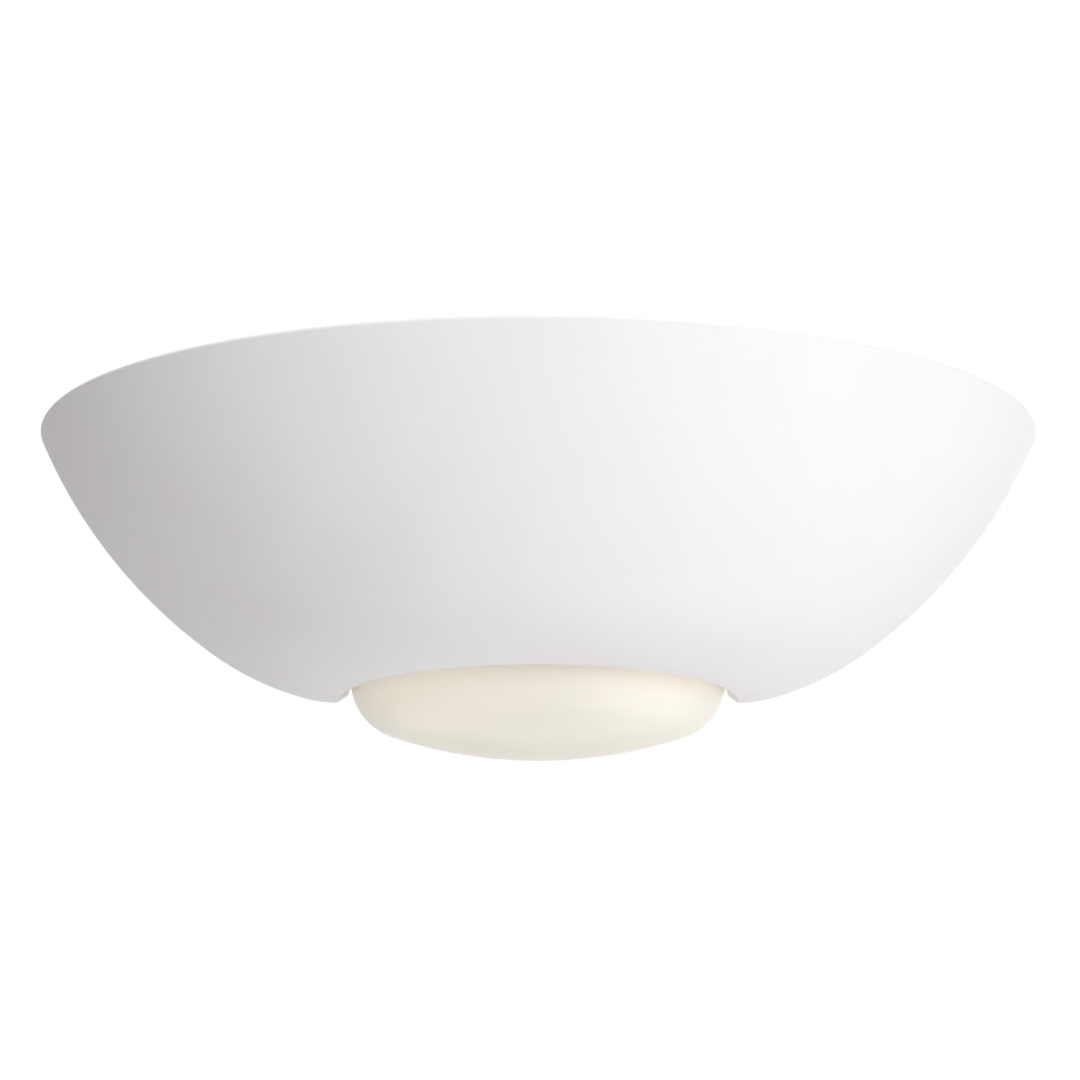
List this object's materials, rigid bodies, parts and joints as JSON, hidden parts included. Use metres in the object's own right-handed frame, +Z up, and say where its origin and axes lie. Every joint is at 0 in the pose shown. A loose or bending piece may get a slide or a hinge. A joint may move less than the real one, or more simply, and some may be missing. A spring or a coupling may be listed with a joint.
{
  "type": "wall uplighter",
  "caption": "Half-bowl ceramic wall uplighter with a glass dish in its base, slid onto a wall bracket that carries a lampholder, lamp and terminals.",
  "frame": {"origin": "on the wall, midway between the centres of the two slotted wall fixings", "axes": "+X to the right as seen from the room, +Y into the wall, +Z up"},
  "size_m": [0.36, 0.18, 0.1202],
  "materials": {
    "bisque": "matt unglazed bisque",
    "satin_glass": "satin-etched cream opal",
    "white_enamel": "satin powder coat",
    "zinc_steel": "bright zinc plate",
    "nickel_knob": "satin nickel plate",
    "brass": "plain brass",
    "cap_metal": "bright aluminium",
    "grey_rubber": "moulded rubber",
    "silicone": "translucent silicone",
    "white_nylon": "moulded nylon",
    "cover_abs": "fine textured ABS",
    "holder_plastic": "thermoset, moulded",
    "steatite": "pressed steatite",
    "brown_lead": "silicone insulation, brown",
    "blue_lead": "silicone insulation, blue",
    "earth_green": "insulation, green and yellow",
    "green_zinc": "green passivated zinc",
    "lamp_housing": "moulded polycarbonate",
    "lamp_opal": "opal polycarbonate",
    "black_glass": "vitrified insulator",
    "solder_mask": "white solder mask on aluminium",
    "phosphor": "yellow phosphor",
    "green_board": "glass-epoxy board"
  },
  "bodies": {
    "bracket": {"lug_pads": "silicone", "wall_bracket": "white_enamel", "lampholder_arm": "white_enamel", "arm_rivets": "zinc_steel", "tab_nuts": "zinc_steel", "cable_grommet": "grey_rubber", "lead_grommet": "grey_rubber", "terminal_block": "white_nylon", "terminal_tubes": "brass", "terminal_screws": "zinc_steel", "block_screw": "zinc_steel", "terminal_cover": "cover_abs", "cover_screws": "zinc_steel", "earth_screw": "green_zinc", "earth_washer": "zinc_steel", "earth_ring": "brass", "earth_lead": "earth_green", "live_lead": "brown_lead", "neutral_lead": "blue_lead", "nipple": "brass", "nipple_nut": "brass", "nipple_washer": "zinc_steel", "holder_cap": "holder_plastic", "holder_grub_screw": "zinc_steel", "holder_barrel": "holder_plastic", "holder_core": "steatite", "screw_shell": "brass", "centre_contact": "brass", "holder_terminals": "brass", "holder_terminal_screws": "zinc_steel"},
    "bowl": {"shade": "bisque", "diffuser_seal": "silicone"},
    "diffuser": {"glass_diffuser": "satin_glass"},
    "washer_left": {"thumbscrew_washer_left": "zinc_steel"},
    "screw_left": {"thumbscrew_left": "nickel_knob"},
    "washer_right": {"thumbscrew_washer_right": "zinc_steel"},
    "screw_right": {"thumbscrew_right": "nickel_knob"},
    "lamp_base": {"lamp_contact": "cap_metal", "lamp_insulator": "black_glass"},
    "lamp": {"lamp_cap": "cap_metal", "lamp_collar": "lamp_housing", "lamp_globe": "lamp_opal", "led_board": "solder_mask", "led_chips": "phosphor", "driver_board": "green_board"}
  },
  "joints": [
    {"name": "bowl_slide", "type": "slide", "parent": "bracket", "child": "bowl", "axis": [0, -1, 0], "range_m": [0, 0.2]},
    {"name": "diffuser_lift", "type": "slide", "parent": "bowl", "child": "diffuser", "axis": [0, 0, 1], "range_m": [0, 0.018]},
    {"name": "left_screw_rise", "type": "slide", "parent": "bracket", "child": "washer_left", "axis": [0, 0, 1], "range_m": [0, 0.00141]},
    {"name": "left_screw_turn", "type": "hinge", "parent": "washer_left", "child": "screw_left", "pos_m": [-0.1256, -0.02, 0], "axis": [0, 0, 1], "range_deg": [0, 720]},
    {"name": "right_screw_rise", "type": "slide", "parent": "bracket", "child": "washer_right", "axis": [0, 0, 1], "range_m": [0, 0.00141]},
    {"name": "right_screw_turn", "type": "hinge", "parent": "washer_right", "child": "screw_right", "pos_m": [0.1256, -0.02, 0], "axis": [0, 0, 1], "range_deg": [0, 720]},
    {"name": "lamp_out", "type": "slide", "parent": "bracket", "child": "lamp_base", "axis": [1, 0, 0], "range_m": [0, 0.01634]},
    {"name": "lamp_turn", "type": "hinge", "parent": "lamp_base", "child": "lamp", "pos_m": [0, -0.072, 0.003], "axis": [1, 0, 0], "range_deg": [0, 1620]}
  ],
  "couplings": [
    {"joint": "left_screw_rise", "follows": "left_screw_turn", "m_per_rad": 0.00011141},
    {"joint": "right_screw_rise", "follows": "right_screw_turn", "m_per_rad": 0.00011141},
    {"joint": "lamp_out", "follows": "lamp_turn", "m_per_rad": 0.00057757}
  ]
}
